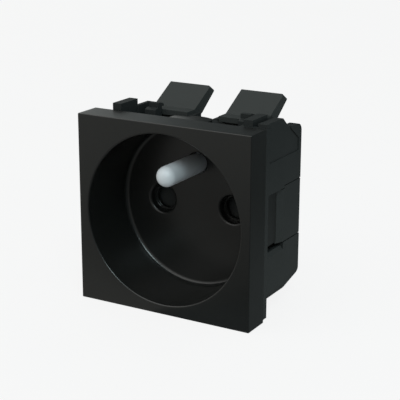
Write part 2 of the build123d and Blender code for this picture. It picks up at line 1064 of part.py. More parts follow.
def lever(side):
    """Release lever: flat root over its hub, a raised paddle with ribs and a leg for the clamp.

    Both levers have the corner of the tip that is further right rounded.
    """
    slope = math.atan2(lever_tip_z - lever_bend_z, lever_tip_y - lever_bend_y)
    down_y = lever_thickness * math.sin(slope)
    down_z = lever_thickness * math.cos(slope)
    turn = lever_thickness * math.tan(slope / 2)
    body = prism_x(
        [
            (lever_root_y, lever_root_z),
            (lever_bend_y, lever_bend_z),
            (lever_tip_y, lever_tip_z),
            (lever_nose_y, lever_nose_z),
            (lever_tip_y + down_y, lever_tip_z - down_z),
            (lever_bend_y + turn, lever_bend_z - lever_thickness),
            (lever_root_y, lever_root_z - lever_thickness),
        ],
        lever_inner,
        lever_outer,
    )
    for x in (lever_inner, lever_outer - lever_rib):
        body += prism_x(lever_side(), x, x + lever_rib)
    rounded_x = lever_outer if side > 0 else lever_inner
    nose = edges_where(
        body,
        lambda c, e: c.Z > lever_nose_z and c.Y > lever_tip_y and abs(c.X - rounded_x) < touch,
    )
    body = fillet(nose, lever_corner)
    body += rod_x(hub_radius, lever_inner, lever_outer, hub_y, hub_z)
    body += block(
        lever_inner, lever_outer, hub_y - hub_radius, hub_y + hub_radius,
        hub_z, lever_root_z - lever_thickness / 2,
    )
    body += prism_x(
        [
            (hub_y - hub_radius / 2, hub_z),
            (hub_y - hub_radius / 2, hub_z - hub_radius),
            (leg_tip_y - leg_tip_width, leg_tip_z),
            (leg_tip_y, leg_tip_z),
            (hub_y + hub_radius, hub_z),
        ],
        leg_inner,
        leg_outer,
    )
    pin_hole = lever_pin_radius + running_gap
    return body - rod_x(pin_hole, lever_inner - overrun, lever_outer + overrun, hub_y, hub_z)


def lever_pin():
    """Steel pin through both cheeks and the lever's hub."""
    return rod_x(lever_pin_radius, inner_cheek_inner, outer_cheek_outer, hub_y, hub_z)


def write(name, shape):
    """Write one piece to its own file."""
    solids = shape.solids()
    piece = solids[0] if len(solids) == 1 else Compound(children=list(solids))
    export_step(piece, os.path.join("parts", name + ".step"))


write("front_cover", front_cover())
write("housing", housing())
write("contact_carrier", contact_carrier())
write("rear_cover", rear_cover())
write("shutter", shutter())
write("shutter_spring", shutter_spring())
write("earth_pin", earth_pin())
write("earth_washer", earth_washer())
write("earth_strip", earth_strip())
write("earth_clamp_spring", earth_clamp_spring())
for pole, pole_side in (("line", 1), ("neutral", -1)):
    write(pole + "_contact", mirrored(contact(), pole_side))
    write(pole + "_grip_spring", mirrored(grip_spring(), pole_side))
    write(pole + "_clamp_spring", mirrored(clamp_spring(), pole_side))
    write(pole + "_lever", mirrored(lever(pole_side), pole_side))
    write(pole + "_lever_pin", mirrored(lever_pin(), pole_side))
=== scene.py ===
"""Looks of the snap-in socket module: its fine pieces, finishes, studio and camera.

Lengths of the pieces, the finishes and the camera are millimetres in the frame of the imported
model: X to the right, Y into the wall, Z up, origin in the middle of the recess mouth. Meshes,
the floor and the lamps are in metres.
"""

import json
import logging
import math
from dataclasses import dataclass
from enum import Enum

import bmesh  # noqa: E402
import bpy  # noqa: E402
import numpy as np  # noqa: E402
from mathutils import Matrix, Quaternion, Vector, geometry  # noqa: E402


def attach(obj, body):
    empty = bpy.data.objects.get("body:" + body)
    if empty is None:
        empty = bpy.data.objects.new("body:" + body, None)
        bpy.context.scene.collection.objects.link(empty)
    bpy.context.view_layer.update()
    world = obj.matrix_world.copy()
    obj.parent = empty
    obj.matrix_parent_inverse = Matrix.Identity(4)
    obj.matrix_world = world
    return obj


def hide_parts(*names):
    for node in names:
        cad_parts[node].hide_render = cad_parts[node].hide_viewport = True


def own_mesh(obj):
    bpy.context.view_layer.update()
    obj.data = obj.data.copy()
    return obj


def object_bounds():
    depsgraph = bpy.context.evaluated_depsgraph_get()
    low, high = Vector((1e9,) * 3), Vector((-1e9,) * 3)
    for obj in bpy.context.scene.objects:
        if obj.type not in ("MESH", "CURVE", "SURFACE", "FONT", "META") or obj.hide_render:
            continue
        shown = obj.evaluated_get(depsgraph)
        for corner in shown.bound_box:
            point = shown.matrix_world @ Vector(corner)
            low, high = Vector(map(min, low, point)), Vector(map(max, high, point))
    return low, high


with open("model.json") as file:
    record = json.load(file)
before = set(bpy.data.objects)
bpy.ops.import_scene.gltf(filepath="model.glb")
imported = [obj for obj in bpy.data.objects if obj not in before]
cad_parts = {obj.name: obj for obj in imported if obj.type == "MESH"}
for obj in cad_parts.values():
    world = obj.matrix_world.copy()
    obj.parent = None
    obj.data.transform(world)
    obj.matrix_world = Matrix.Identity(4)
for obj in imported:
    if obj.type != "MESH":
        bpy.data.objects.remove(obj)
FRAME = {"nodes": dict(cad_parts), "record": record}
CAD_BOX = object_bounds()
MM = 0.001
LOG = logging.getLogger("socket_module")

Socket = bpy.types.NodeSocket
Pair = tuple[float, float]
Triple = tuple[float, float, float]

PIN_HEIGHT = 10.0  # height of the earth pin's axis above the middle
POINT_DECIMALS = 3  # points of a piece that agree to so many decimals of a millimetre are one
SHARP_DEG = 32.0  # angle between faces from which their edge shows sharp
LATTICE_STEP = 1.1  # spacing of the points inside a flat sheet
OUTER_CLEAR = 0.8  # least gap from such a point to the sheet's outer ring
HOLE_CLEAR = 0.5  # least gap from such a point to a hole's ring
MERGE_WITHIN = 1e-9  # distance within which the triangulation joins points
SOFT_STEPS = ((0.0, 1.0), (0.3, 0.3), (1.0, 0.0))  # (way from the end, draw in) / soft width

WHITE = (1.0, 1.0, 1.0)
WARM = (1.0, 1.0, 0.95)
MIX_A, MIX_B, MIX_RESULT = 6, 7, 2  # numbers of the colour sockets of a Mix node


class Slot(Enum):
    """Material slots of the record."""

    COVER = "cover_plastic"
    FRAME = "frame_plastic"
    LEVER = "lever_plastic"
    NICKEL = "nickel"
    BRASS = "brass"
    SPRING = "spring_steel"


class Body(Enum):
    """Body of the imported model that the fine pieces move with."""

    SOCKET = "socket"


class Sight(Enum):
    """Kinds of ray that tell the studio's ground what to show."""

    CAMERA = "Is Camera Ray"
    GLOSSY = "Is Glossy Ray"
    TRANSMISSION = "Is Transmission Ray"
    DIFFUSE = "Is Diffuse Ray"


# ---------------------------------------------------------------- surfaces


def directions(angles: np.ndarray) -> np.ndarray:
    """Unit vectors (cos a, sin a).

    Args:
        angles: Angles in radians.

    Returns:
        Array of one vector per angle.
    """
    return np.stack([np.cos(angles), np.sin(angles)], axis=-1)


def normalised(vectors: np.ndarray) -> np.ndarray:
    """Vectors divided by their lengths.

    Args:
        vectors: Array of one vector per row.

    Returns:
        Array of the same shape, with rows of length 1.
    """
    return vectors / np.linalg.norm(vectors, axis=1, keepdims=True)


def arc(
    centre_r: float, centre_y: float, radius: float, start: float, end: float, steps: int
) -> np.ndarray:
    """Points (r, y) on an arc: centre + radius * (cos a, sin a), with a even from start to end.

    Args:
        centre_r: Centre's distance from the axis.
        centre_y: Centre's depth.
        radius: Radius of the arc.
        start: First angle in degrees.
        end: Last angle in degrees.
        steps: Number of equal steps.

    Returns:
        Array of steps + 1 points.
    """
    a = np.radians(np.linspace(start, end, steps + 1))
    return [centre_r, centre_y] + radius * directions(a)


def circle(radius: float, count: int, x: float = 0.0, z: float = 0.0) -> np.ndarray:
    """Points (x, z) evenly round a circle, anticlockwise from +X.

    Args:
        radius: Radius of the circle.
        count: Number of points.
        x: Centre's place along X.
        z: Centre's place along Z.

    Returns:
        Array of points.
    """
    a = np.linspace(0, 2 * np.pi, count, endpoint=False)
    return [x, z] + radius * directions(a)


def quads(rows: int, cols: int) -> np.ndarray:
    """Faces of a band of closed rings, whose point (i, j) has the number i * cols + j.

    Args:
        rows: Number of rings.
        cols: Points round each ring.

    Returns:
        Array of four point numbers per face.
    """
    i, j = np.indices((rows - 1, cols)).reshape(2, -1)
    after = (j + 1) % cols
    return np.stack([i, i + 1, i + 1, i], axis=1) * cols + np.stack([j, j, after, after], axis=1)


class Patchwork:
    """Patches of one piece, joined where their points meet."""

    def __init__(self) -> None:
        """Start with no patches."""
        self.points: list[np.ndarray] = []
        self.faces: list[np.ndarray] = []
        self.total = 0

    def add(self, points: np.ndarray, faces: np.ndarray) -> None:
        """Add a patch.

        Args:
            points: Array of (x, y, z) in millimetres.
            faces: Array of point numbers, counted within the patch.
        """
        self.points.append(points.reshape(-1, 3))
        self.faces.append(faces + self.total)
        self.total += self.points[-1].shape[0]

    def rings(self, rings: np.ndarray) -> None:
        """Add a band of closed rings.

        Args:
            rings: Array of rings of (x, y, z) points, all with the same count.
        """
        self.add(rings, quads(rings.shape[0], rings.shape[1]))

    def cap(self, ring: np.ndarray, middle: np.ndarray) -> None:
        """Close a ring by a fan of triangles.

        Args:
            ring: Ring of (x, y, z) points.
            middle: Point (x, y, z) where the triangles meet.
        """
        count = len(ring)
        number = np.arange(count)
        fan = np.stack([number, np.roll(number, -1), np.full(count, count)], axis=1)
        self.add(np.concatenate([ring, middle[None]]), fan)

    def turned(self, profile: np.ndarray, x: float, z: float, count: int) -> None:
        """Add a surface turned about a line along Y.

        The point at profile step s and angle t is (x + r(s) cos t, y(s), z + r(s) sin t).

        Args:
            profile: Points (r, y) along the surface.
            x: Axis position along X.
            z: Axis position along Z.
            count: Points round the axis.
        """
        cos, sin = circle(1.0, count).T
        r, y = profile[:, 0, None], profile[:, 1, None]
        self.rings(np.stack(np.broadcast_arrays(x + r * cos, y, z + r * sin), axis=2))

    def sheet(self, outer: np.ndarray, holes: list[np.ndarray], y: float) -> None:
        """Add a flat sheet at depth y between an outer ring and round holes, cut into triangles.

        A lattice of points, each clear of every ring, keeps the triangles even. A triangle
        whose corners all lie on one hole's ring is inside that hole and is left out.

        Args:
            outer: Ring of (x, z) points.
            holes: Rings of (x, z) points inside it.
            y: Depth of the sheet.
        """
        loops = [outer, *holes]
        reach = np.abs(outer).max()
        step = np.arange(-reach, reach, LATTICE_STEP)
        lattice = np.stack(np.meshgrid(step, step), axis=2).reshape(-1, 2)
        free = np.hypot(*lattice.T) < reach - OUTER_CLEAR
        for hole in holes:
            centre = hole.mean(axis=0)
            clear = np.hypot(*(hole[0] - centre)) + HOLE_CLEAR
            free &= np.hypot(*(lattice - centre).T) > clear
        flat = np.concatenate([*loops, lattice[free]])
        starts = np.cumsum([0] + [len(loop) for loop in loops])
        edges = []
        for start, loop in zip(starts, loops):
            number = np.arange(len(loop))
            edges.append(np.stack([start + number, start + np.roll(number, -1)], axis=1))
        corners = [Vector(point) for point in flat.tolist()]
        edges = np.concatenate(edges).tolist()
        faces = np.array(geometry.delaunay_2d_cdt(corners, edges, [], 0, MERGE_WITHIN)[2])
        ring = np.zeros(len(flat), int)
        for number, (start, hole) in enumerate(zip(starts[1:], holes), 1):
            ring[start : start + len(hole)] = number
        owner = ring[faces]
        inside_hole = (owner.min(axis=1) == owner.max(axis=1)) & (owner[:, 0] > 0)
        self.add(np.insert(flat, 1, y, axis=1), faces[~inside_hole])

    def block(self, outline: np.ndarray, low: float, high: float, axis: int, soft: float) -> None:
        """Add a closed prism: a convex outline carried along one axis, its end edges softened.

        The outline lies in the other two axes, in their order. At both ends it is drawn in,
        step by step, up to the soft width: each point moves along the sum n of its two edges'
        unit normals, scaled to n / (|n|^2 / 2), so that both edges move in by the same width.

        Args:
            outline: Ring of points.
            low: Start along the axis.
            high: End along the axis.
            axis: 0, 1 or 2 for X, Y or Z.
            soft: Width of the softened edge.
        """
        centre = outline.mean(axis=0)
        ahead = normalised(np.roll(outline, -1, axis=0) - outline)
        along = ahead + np.roll(ahead, 1, axis=0)
        normal = np.stack([-along[:, 1], along[:, 0]], axis=1)
        normal /= (normal**2).sum(axis=1, keepdims=True) / 2
        inward = normal * np.sign(((centre - outline) * normal).sum(axis=1, keepdims=True))
        stations = [(low + way * soft, drawn) for way, drawn in SOFT_STEPS]
        stations += [(high - way * soft, drawn) for way, drawn in reversed(SOFT_STEPS)]
        rows = [
            np.insert(outline + inward * soft * drawn, axis, place, axis=1)
            for place, drawn in stations
        ]
        self.rings(np.stack(rows))
        self.cap(rows[0], np.insert(centre, axis, low))
        self.cap(rows[-1], np.insert(centre, axis, high))

    def piece(self, name: str) -> bpy.types.Object:
        """Join the patches into one object with smooth faces and sharp corners.

        Args:
            name: Name of the piece.

        Returns:
            The new object, with its faces pointing outwards.
        """
        points = np.concatenate(self.points)
        places = np.round(points, POINT_DECIMALS)
        _, first, number = np.unique(places, axis=0, return_index=True, return_inverse=True)
        number = number.ravel()
        rows = [row for part in self.faces for row in number[part].tolist()]
        faces = [face for face in (tuple(dict.fromkeys(row)) for row in rows) if len(face) > 2]
        mesh = bpy.data.meshes.new(name)
        mesh.from_pydata((points[first] * MM).tolist(), [], faces)
        mesh.validate()
        outward(mesh)
        mesh.shade_smooth()
        mesh.set_sharp_from_angle(angle=math.radians(SHARP_DEG))
        made = bpy.data.objects.new(name, mesh)
        bpy.context.scene.collection.objects.link(made)
        return made


def outward(mesh: bpy.types.Mesh) -> None:
    """Turn all faces of a closed mesh outwards.

    Args:
        mesh: Mesh to change.
    """
    work = bmesh.new()
    work.from_mesh(mesh)
    bmesh.ops.recalc_face_normals(work, faces=work.faces)
    work.to_mesh(mesh)
    work.free()
    mesh.update()


def settle(
    piece: bpy.types.Object, body: Body, slot: Slot, material: bpy.types.Material, *nodes: str
) -> bpy.types.Object:
    """Dress a piece, put it on its body and let it stand for its CAD nodes.

    Args:
        piece: The finished piece.
        body: Body it moves with.
        slot: Slot of the record that its finish comes from; not used.
        material: Its material.
        *nodes: CAD nodes that it stands for.

    Returns:
        The same piece.
    """
    piece.data.materials.clear()
    piece.data.materials.append(material)
    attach(piece, body.value)
    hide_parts(*nodes)
    LOG.info("%s: %d faces on %s", piece.name, len(piece.data.polygons), body.value)
    return piece


# ---------------------------------------------------------------- finishes


class Nodes:
    """Node tree with short ways to add and join nodes."""

    def __init__(self, tree: bpy.types.NodeTree) -> None:
        """Take the tree to build in.

        Args:
            tree: Node tree of a material or a world.
        """
        self.tree = tree

    def node(self, kind: str, inputs: dict | None = None, **settings: object) -> bpy.types.Node:
        """Add a node.

        Args:
            kind: Class name of the node, without ShaderNode.
            inputs: Values or output sockets by input name or number.
            **settings: Properties of the node.

        Returns:
            The new node.
        """
        made = self.tree.nodes.new("ShaderNode" + kind)
        for key, value in settings.items():
            setattr(made, key, value)
        for key, value in (inputs or {}).items():
            if isinstance(value, Socket):
                self.tree.links.new(value, made.inputs[key])
            else:
                made.inputs[key].default_value = value
        return made

    def math(self, operation: str, first: object, second: object) -> Socket:
        """Join two values by a math operation.

        Args:
            operation: Name of the operation.
            first: Value or socket.
            second: Value or socket.

        Returns:
            Socket with the result.
        """
        return self.node("Math", {0: first, 1: second}, operation=operation).outputs[0]

    def vector(self, operation: str, output: int | str, *vectors: object) -> Socket:
        """Apply a vector operation.

        Args:
            operation: Name of the operation.
            output: Number or name of the output that is wanted.
            *vectors: Vectors or sockets.

        Returns:
            Socket with the result.
        """
        made = self.node("VectorMath", dict(enumerate(vectors)), operation=operation)
        return made.outputs[output]

    def spread(
        self, value: Socket, low: float, high: float, start: float = 0.3, end: float = 0.7
    ) -> Socket:
        """Map values between start and end smoothly to the range from low to high.

        Args:
            value: Socket with the values.
            low: Result at start and below it.
            high: Result at end and above it.
            start: First value of the smooth rise.
            end: Last value of the smooth rise.

        Returns:
            Socket with the result.
        """
        inputs = {"Value": value, "From Min": start, "From Max": end, "To Min": low, "To Max": high}
        return self.node("MapRange", inputs, interpolation_type="SMOOTHSTEP").outputs[0]

    def blend(self, share: Socket, first: Triple | Socket, second: Triple | Socket) -> Socket:
        """Blend two colours.

        Args:
            share: Socket with 0 for the first colour up to 1 for the second.
            first: Colour or socket.
            second: Colour or socket.

        Returns:
            Socket with the blended colour.
        """
        a, b = (end if isinstance(end, Socket) else (*end, 1.0) for end in (first, second))
        made = self.node("Mix", {0: share, MIX_A: a, MIX_B: b}, data_type="RGBA")
        return made.outputs[MIX_RESULT]


class Sheet(Nodes):
    """Node tree of one material, with its Principled shader and Object coordinates."""

    def __init__(self, name: str) -> None:
        """Make the material.

        Args:
            name: Name of the material.
        """
        self.material = bpy.data.materials.new(name)
        self.material.use_nodes = True
        super().__init__(self.material.node_tree)
        self.shader = self.tree.nodes["Principled BSDF"]
        self.place = self.node("TexCoord").outputs["Object"]

    def noise(self, size_mm: float, octaves: float, stretch: Triple = (1.0, 1.0, 1.0)) -> Socket:
        """Noise with features of a given size, drawn out along the axes by the stretch.

        Args:
            size_mm: Size of a feature in millimetres.
            octaves: Octaves of finer noise.
            stretch: How much longer a feature is along X, Y and Z.

        Returns:
            Socket with values from 0 to 1.
        """
        scale = tuple(1 / s for s in stretch)
        moved = self.node("Mapping", {"Vector": self.place, "Scale": scale}).outputs[0]
        inputs = {"Vector": moved, "Scale": 1 / (size_mm * MM), "Detail": octaves}
        return self.node("TexNoise", inputs).outputs[0]

    def cloud(self, size_mm: float, octaves: float, first: Triple, second: Triple) -> Socket:
        """Two colours that change over in soft patches.

        Args:
            size_mm: Size of a patch in millimetres.
            octaves: Octaves of finer noise.
            first: Colour between the patches.
            second: Colour of the patches.

        Returns:
            Socket with the colour.
        """
        return self.blend(self.spread(self.noise(size_mm, octaves), 0.0, 1.0), first, second)

    def bump(self, height: Socket, depth_mm: float, edge_mm: float, samples: int) -> Socket:
        """Normals of a fine relief over edges that look rounded.

        Args:
            height: Socket with the relief, from 0 to 1.
            depth_mm: Depth of the relief in millimetres.
            edge_mm: Radius of the rounded edges in millimetres, or 0 to leave them as they are.
            samples: Rays that look for edges.

        Returns:
            Socket with the normal.
        """
        inputs = {"Strength": 1.0, "Distance": depth_mm * MM, "Height": height}
        if edge_mm:
            soft = self.node("Bevel", {"Radius": edge_mm * MM}, samples=samples)
            inputs["Normal"] = soft.outputs[0]
        return self.node("Bump", inputs).outputs[0]

    def set(self, **values: object) -> None:
        """Set or link inputs of the shader.

        Args:
            **values: Values or sockets by input name, with underscores for its spaces.
        """
        for key, value in values.items():
            target = self.shader.inputs[key.replace("_", " ")]
            if isinstance(value, Socket):
                self.tree.links.new(value, target)
            else:
                target.default_value = value


@dataclass(frozen=True)
class MouldedPlastic:
    """Black moulded plastic with a fine eroded grain, faint flow clouds and softened edges.

    Attributes:
        slot: Slot that it finishes.
        colour: Colour between the clouds.
        cloud: Colour of the clouds, cloud_mm wide.
        roughness: Lowest and highest roughness, in patches sheen_mm wide.
        specular: Strength of the reflection.
        grain_mm: Size of the grain, grain_depth_mm deep.
        edge_mm: Radius of the softened edges, or 0 where the mesh has its own.
        edge_samples: Rays that look for edges.
    """

    slot: Slot
    colour: Triple
    cloud: Triple
    roughness: Pair
    specular: float
    grain_mm: float
    grain_depth_mm: float
    edge_mm: float
    edge_samples: int = 6
    cloud_mm: float = 9.0
    sheen_mm: float = 2.4
    octaves: float = 3.0
    sheen_octaves: float = 4.0

    def material(self) -> bpy.types.Material:
        """Build the node material.

        Returns:
            The material.
        """
        sheet = Sheet(self.slot.value + "_looks")
        grain = sheet.noise(self.grain_mm, self.octaves)
        sheen = sheet.noise(self.sheen_mm, self.sheen_octaves)
        sheet.set(
            Base_Color=sheet.cloud(self.cloud_mm, self.octaves, self.colour, self.cloud),
            Roughness=sheet.spread(sheen, *self.roughness),
            Specular_IOR_Level=self.specular,
            Normal=sheet.bump(grain, self.grain_depth_mm, self.edge_mm, self.edge_samples),
        )
        return sheet.material


@dataclass(frozen=True)
class PlatedMetal:
    """Satin plating over a turned part, with fine tool rings across its axis along Y.

    Attributes:
        slot: Slot that it finishes.
        colour: Colour between the clouds.
        shade: Colour of the clouds, cloud_mm wide.
        roughness: Lowest and highest roughness, in rings ring_mm wide.
        metallic: Share of metal against a pale satin coat.
        specular: Strength of the coat's reflection.
        ring_mm: Width of the rings, ring_depth_mm deep.
    """

    slot: Slot
    colour: Triple
    shade: Triple
    roughness: Pair
    metallic: float
    specular: float
    ring_mm: float
    ring_depth_mm: float
    ring_stretch: Triple = (60.0, 1.0, 60.0)
    ring_octaves: float = 2.0
    cloud_mm: float = 3.0
    cloud_octaves: float = 3.0

    def material(self) -> bpy.types.Material:
        """Build the node material.

        Returns:
            The material.
        """
        sheet = Sheet(self.slot.value + "_looks")
        rings = sheet.noise(self.ring_mm, self.ring_octaves, self.ring_stretch)
        sheet.set(
            Base_Color=sheet.cloud(self.cloud_mm, self.cloud_octaves, self.colour, self.shade),
            Metallic=self.metallic,
            Specular_IOR_Level=self.specular,
            Roughness=sheet.spread(rings, *self.roughness),
            Normal=sheet.bump(rings, self.ring_depth_mm, 0.0, 0),
        )
        return sheet.material


@dataclass(frozen=True)
class StampedMetal:
    """Rolled sheet metal: fine lines along Y, duller patches and softened stamped edges.

    Attributes:
        slot: Slot that it finishes.
        colour: Colour of the clean metal.
        dull: Colour of the patches, patch_mm wide.
        roughness: Lowest and highest roughness, in lines line_mm wide and line_depth_mm deep.
    """

    slot: Slot
    colour: Triple
    dull: Triple
    roughness: Pair
    line_mm: float = 0.12
    line_depth_mm: float = 0.002
    line_stretch: Triple = (1.0, 40.0, 1.0)
    line_octaves: float = 2.0
    patch_mm: float = 2.2
    patch_octaves: float = 4.0
    edge_mm: float = 0.06
    edge_samples: int = 4

    def material(self) -> bpy.types.Material:
        """Build the node material.

        Returns:
            The material.
        """
        sheet = Sheet(self.slot.value + "_looks")
        lines = sheet.noise(self.line_mm, self.line_octaves, self.line_stretch)
        sheet.set(
            Base_Color=sheet.cloud(self.patch_mm, self.patch_octaves, self.colour, self.dull),
            Metallic=1.0,
            Roughness=sheet.spread(lines, *self.roughness),
            Normal=sheet.bump(lines, self.line_depth_mm, self.edge_mm, self.edge_samples),
        )
        return sheet.material


FINISHES = (
    MouldedPlastic(
        slot=Slot.COVER,
        colour=(0.0072, 0.0075, 0.0070),
        cloud=(0.0076, 0.0079, 0.0073),
        roughness=(0.290, 0.300),
        specular=0.70,
        grain_mm=0.25,
        grain_depth_mm=0.0005,
        edge_mm=0.0,
    ),
    MouldedPlastic(
        slot=Slot.FRAME,
        colour=(0.0216, 0.0236, 0.0236),
        cloud=(0.0226, 0.0246, 0.0246),
        roughness=(0.49, 0.52),
        specular=0.09,
        grain_mm=0.30,
        grain_depth_mm=0.001,
        edge_mm=0.08,
    ),
    MouldedPlastic(
        slot=Slot.LEVER,
        colour=(0.0325, 0.0350, 0.0343),
        cloud=(0.0340, 0.0365, 0.0358),
        roughness=(0.41, 0.43),
        specular=0.13,
        grain_mm=0.30,
        grain_depth_mm=0.001,
        edge_mm=0.10,
    ),
    PlatedMetal(
        slot=Slot.NICKEL,
        colour=(0.60, 0.62, 0.65),
        shade=(0.57, 0.59, 0.62),
        roughness=(0.43, 0.49),
        metallic=0.06,
        specular=0.6,
        ring_mm=0.05,
        ring_depth_mm=0.0006,
    ),
    StampedMetal(Slot.BRASS, (0.62, 0.44, 0.19), (0.46, 0.32, 0.14), (0.26, 0.42)),
    StampedMetal(Slot.SPRING, (0.50, 0.50, 0.49), (0.38, 0.38, 0.37), (0.24, 0.40)),
)


# ---------------------------------------------------------------- pieces


@dataclass
class FrontCover:
    """Cover moulding: plate with skirt, recess tube and floor, lug and snap pads.

    A strip is a narrow flat band beside a round, which keeps the smooth shading on the round.
    """

    half: float = 22.5
    depth: float = 7.0
    plate: float = 2.0
    skirt: float = 1.3
    edge: float = 0.2
    edge_steps: int = 8
    recess: float = 20.1
    recess_depth: float = 15.9
    rim: float = 0.4
    rim_steps: int = 10
    floor_edge: float = 1.1
    floor_steps: int = 12
    floor: float = 3.0
    strip: float = 0.05
    tube: float = 20.85
    tube_chamfer: float = 1.25
    pitch: float = 19.0
    mouth: float = 3.3
    mouth_depth: float = 2.0
    lip: float = 0.7
    lip_steps: int = 8
    lip_strip: float = 0.04
    inner: float = 2.75
    inner_chamfer: float = 0.12
    pin_hole: float = 2.6
    hole_chamfer: float = 0.1
    lug: tuple[float, float, float, float] = (-2.2, 7.75, 9.7, 21.3)
    lug_corner: float = 0.6
    lug_steps: int = 6
    lug_soft: float = 0.08
    pad_face: float = 21.45
    pad_span: Pair = (-5.4, 6.5)
    pad_end: float = 14.8
    pad_steps: int = 16
    pad_soft: float = 0.12
    per_side: int = 72
    per_corner: int = 6
    per_hole: int = 96

    def square(self, half: float) -> np.ndarray:
        """Square ring with rounded corners, whose points keep their order from ring to ring.

        A point on a side is (half, (half - edge) * tan(45 degrees * s)), with s even from -1
        to 1, and a corner is a quarter circle of the edge radius; the other sides are turned
        by quarters.

        Args:
            half: Half the width of the square.

        Returns:
            Array of (x, z) points, anticlockwise.
        """
        flat = half - self.edge
        s = np.linspace(-1, 1, self.per_side)
        side = np.stack([np.full(self.per_side, half), flat * np.tan(np.pi / 4 * s)], axis=1)
        a = np.linspace(0, np.pi / 2, self.per_corner + 2)[1:-1]
        quarter = np.concatenate([side, flat + self.edge * directions(a)])
        turn = np.array([[0, 1], [-1, 0]])
        return np.concatenate([quarter @ np.linalg.matrix_power(turn, k) for k in range(4)])

    def rounds(self) -> np.ndarray:
        """Directions of the square ring's points, so that round rings line up with it.

        Returns:
            Array of (x, z) unit vectors.
        """
        return normalised(self.square(self.half))

    def shell(self, patches: Patchwork) -> None:
        """Add the band from the floor's edge over rim, plate and skirt to the tube's end.

        Row by row, a round ring is r * direction at depth y, and a square ring is the square
        of that half width, so the plate's face runs from circle to square along each ray.

        Args:
            patches: Patches of the cover.
        """
        near = self.strip
        foot = self.recess - self.floor_edge
        wall_end = self.recess_depth - self.floor_edge
        brim = self.recess + self.rim
        inner = np.concatenate(
            [
                [[foot - near, self.recess_depth]],
                arc(foot, wall_end, self.floor_edge, 90, 0, self.floor_steps),
                [[self.recess, wall_end - near], [self.recess, self.rim + near]],
                arc(brim, self.rim, self.rim, -180, -90, self.rim_steps),
                [[brim + near, 0.0]],
            ]
        )
        skirt = self.half - self.skirt
        outer = np.concatenate(
            [
                [[self.half - self.edge - near, 0.0]],
                arc(self.half - self.edge, self.edge, self.edge, -90, 0, self.edge_steps),
                [[self.half, self.edge + near], [self.half, self.depth]],
                [[skirt, self.depth], [skirt, self.plate]],
            ]
        )
        back = self.recess_depth + self.floor
        tail = [
            [self.tube, self.plate],
            [self.tube, back - self.tube_chamfer],
            [self.tube - self.tube_chamfer, back],
        ]
        unit = self.rounds()
        rows = [np.insert(unit * r, 1, y, axis=1) for r, y in inner]
        rows += [np.insert(self.square(half), 1, y, axis=1) for half, y in outer]
        rows += [np.insert(unit * r, 1, y, axis=1) for r, y in tail]
        patches.rings(np.stack(rows))

    def floor_sheets(self, patches: Patchwork) -> None:
        """Add the floor's front and back, with the contact holes and the earth pin's hole.

        Args:
            patches: Patches of the cover.
        """
        unit = self.rounds()
        front, back = self.recess_depth, self.recess_depth + self.floor
        step = front + self.mouth_depth
        wide = self.mouth + self.lip
        mouth = np.concatenate(
            [
                [[wide + self.lip_strip, front]],
                arc(wide, front + self.lip, self.lip, -90, -180, self.lip_steps),
                [
                    [self.mouth, step - self.hole_chamfer],
                    [self.mouth - self.hole_chamfer, step],
                    [self.inner + self.inner_chamfer, step],
                    [self.inner, step + self.inner_chamfer],
                    [self.inner, back],
                ],
            ]
        )
        pin_hole = np.array(
            [
                [self.pin_hole + self.hole_chamfer, front],
                [self.pin_hole, front + self.hole_chamfer],
                [self.pin_hole, back],
            ]
        )
        holes = (
            (mouth, -self.pitch / 2, 0.0),
            (mouth, self.pitch / 2, 0.0),
            (pin_hole, 0.0, PIN_HEIGHT),
        )
        for profile, x, z in holes:
            patches.turned(profile, x, z, self.per_hole)
        fronts = [circle(profile[0, 0], self.per_hole, x, z) for profile, x, z in holes]
        backs = [circle(profile[-1, 0], self.per_hole, x, z) for profile, x, z in holes]
        patches.sheet(unit * (self.recess - self.floor_edge - self.strip), fronts, front)
        patches.sheet(unit * (self.tube - self.tube_chamfer), backs, back)

    def trim(self, patches: Patchwork) -> None:
        """Add the lug behind the top edge and the snap pads at both sides of the tube.

        The pad's outline is its flat face closed by an arc inside the tube's wall.

        Args:
            patches: Patches of the cover.
        """
        left, right, end, under = self.lug
        a = np.radians(np.linspace(0, 90, self.lug_steps + 1))
        bend = self.lug_corner * directions(a)
        corner = np.array([right, end]) - self.lug_corner + bend
        other = np.array([left + self.lug_corner, end - self.lug_corner]) + bend[::-1] * [-1, 1]
        outline = np.concatenate([[[left, self.depth], [right, self.depth]], corner, other])
        patches.block(outline, under, self.half, 2, self.lug_soft)
        low, high = self.pad_span
        inside = (self.recess + self.tube) / 2
        z = np.linspace(high, low, self.pad_steps + 1)
        curve = np.stack([np.sqrt(inside**2 - z**2), z], axis=1)
        pad = np.concatenate([[[self.pad_face, low], [self.pad_face, high]], curve])
        for side in (-1, 1):
            ring = (pad * [side, 1])[::side]
            patches.block(ring, self.plate, self.pad_end, 1, self.pad_soft)

    def build(self, material: bpy.types.Material) -> None:
        """Make the cover and let it stand for its node.

        Args:
            material: Finish of the cover.
        """
        patches = Patchwork()
        self.shell(patches)
        self.floor_sheets(patches)
        self.trim(patches)
        settle(patches.piece("front_cover_fine"), Body.SOCKET, Slot.COVER, material, "front_cover")


